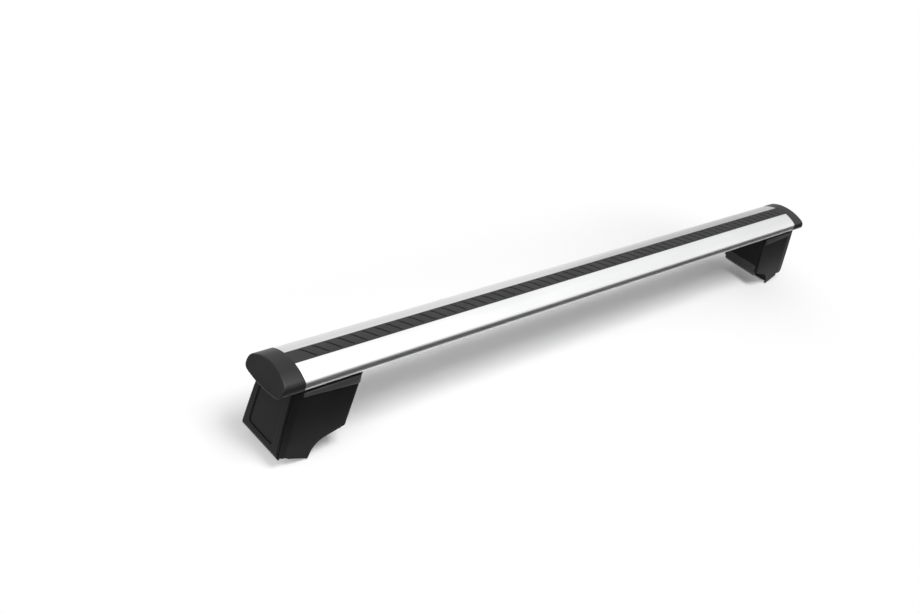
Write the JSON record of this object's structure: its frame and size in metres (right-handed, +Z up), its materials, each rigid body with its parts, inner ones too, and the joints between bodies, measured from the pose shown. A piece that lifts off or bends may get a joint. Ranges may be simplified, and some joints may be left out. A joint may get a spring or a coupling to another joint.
{
  "type": "roof rack crossbar",
  "caption": "Aluminium wing crossbar with ribbed top strip and sliding clamp feet that grip roof side rails.",
  "frame": {"origin": "centre of the ground plane under the feet's toes", "axes": "+X along the bar towards the right foot, +Y across the bar, +Z up"},
  "size_m": [1.2486, 0.0842, 0.1446],
  "materials": {
    "bar_aluminium": "satin anodised",
    "strip_rubber": "matte",
    "cap_plastic": "fine grain",
    "foot_plastic": "fine grain",
    "seal_rubber": "matte",
    "black_steel": "powder coat",
    "zinc_steel": "zinc plated"
  },
  "bodies": {
    "bar": {"crossbar_profile": "bar_aluminium", "slot_strip": "strip_rubber", "left_end_cap": "cap_plastic", "right_end_cap": "cap_plastic"},
    "left_foot": {"left_foot_housing": "foot_plastic", "left_bar_gasket": "seal_rubber", "left_saddle_bracket": "zinc_steel", "left_rail_pad": "seal_rubber", "left_toe_pad": "seal_rubber", "left_clamp_washer": "zinc_steel", "left_cover_hinge_pin": "zinc_steel", "left_mounting_bolts": "zinc_steel", "left_slot_nut_plate": "zinc_steel"},
    "left_cover": {"left_foot_cover": "foot_plastic"},
    "left_screw": {"left_clamp_screw": "zinc_steel"},
    "left_claw": {"left_clamp_jaw": "black_steel", "left_jaw_pad": "seal_rubber", "left_clamp_nut": "zinc_steel"},
    "right_foot": {"right_foot_housing": "foot_plastic", "right_bar_gasket": "seal_rubber", "right_saddle_bracket": "zinc_steel", "right_rail_pad": "seal_rubber", "right_toe_pad": "seal_rubber", "right_clamp_washer": "zinc_steel", "right_cover_hinge_pin": "zinc_steel", "right_mounting_bolts": "zinc_steel", "right_slot_nut_plate": "zinc_steel"},
    "right_cover": {"right_foot_cover": "foot_plastic"},
    "right_screw": {"right_clamp_screw": "zinc_steel"},
    "right_claw": {"right_clamp_jaw": "black_steel", "right_jaw_pad": "seal_rubber", "right_clamp_nut": "zinc_steel"}
  },
  "joints": [
    {"name": "left_foot_slide", "type": "slide", "parent": "bar", "child": "left_foot", "axis": [1, 0, 0], "range_m": [0, 0.15]},
    {"name": "left_cover_hinge", "type": "hinge", "parent": "left_foot", "child": "left_cover", "pos_m": [-0.6015, 0, 0.024], "axis": [0, -1, 0], "range_deg": [0, 60]},
    {"name": "left_screw_turn", "type": "hinge", "parent": "left_foot", "child": "left_screw", "pos_m": [-0.5956, 0, 0.059], "axis": [-1, 0, 0], "range_deg": [0, 3460]},
    {"name": "left_claw_slide", "type": "slide", "parent": "left_foot", "child": "left_claw", "axis": [-1, 0, 0], "range_m": [0, 0.012]},
    {"name": "right_foot_slide", "type": "slide", "parent": "bar", "child": "right_foot", "axis": [-1, 0, 0], "range_m": [0, 0.15]},
    {"name": "right_cover_hinge", "type": "hinge", "parent": "right_foot", "child": "right_cover", "pos_m": [0.6015, 0, 0.024], "axis": [0, 1, 0], "range_deg": [0, 60]},
    {"name": "right_screw_turn", "type": "hinge", "parent": "right_foot", "child": "right_screw", "pos_m": [0.5956, 0, 0.059], "axis": [1, 0, 0], "range_deg": [0, 3460]},
    {"name": "right_claw_slide", "type": "slide", "parent": "right_foot", "child": "right_claw", "axis": [1, 0, 0], "range_m": [0, 0.012]}
  ],
  "couplings": [
    {"joint": "left_screw_turn", "follows": "left_claw_slide", "rad_per_m": 5026.5},
    {"joint": "right_screw_turn", "follows": "right_claw_slide", "rad_per_m": 5026.5}
  ]
}
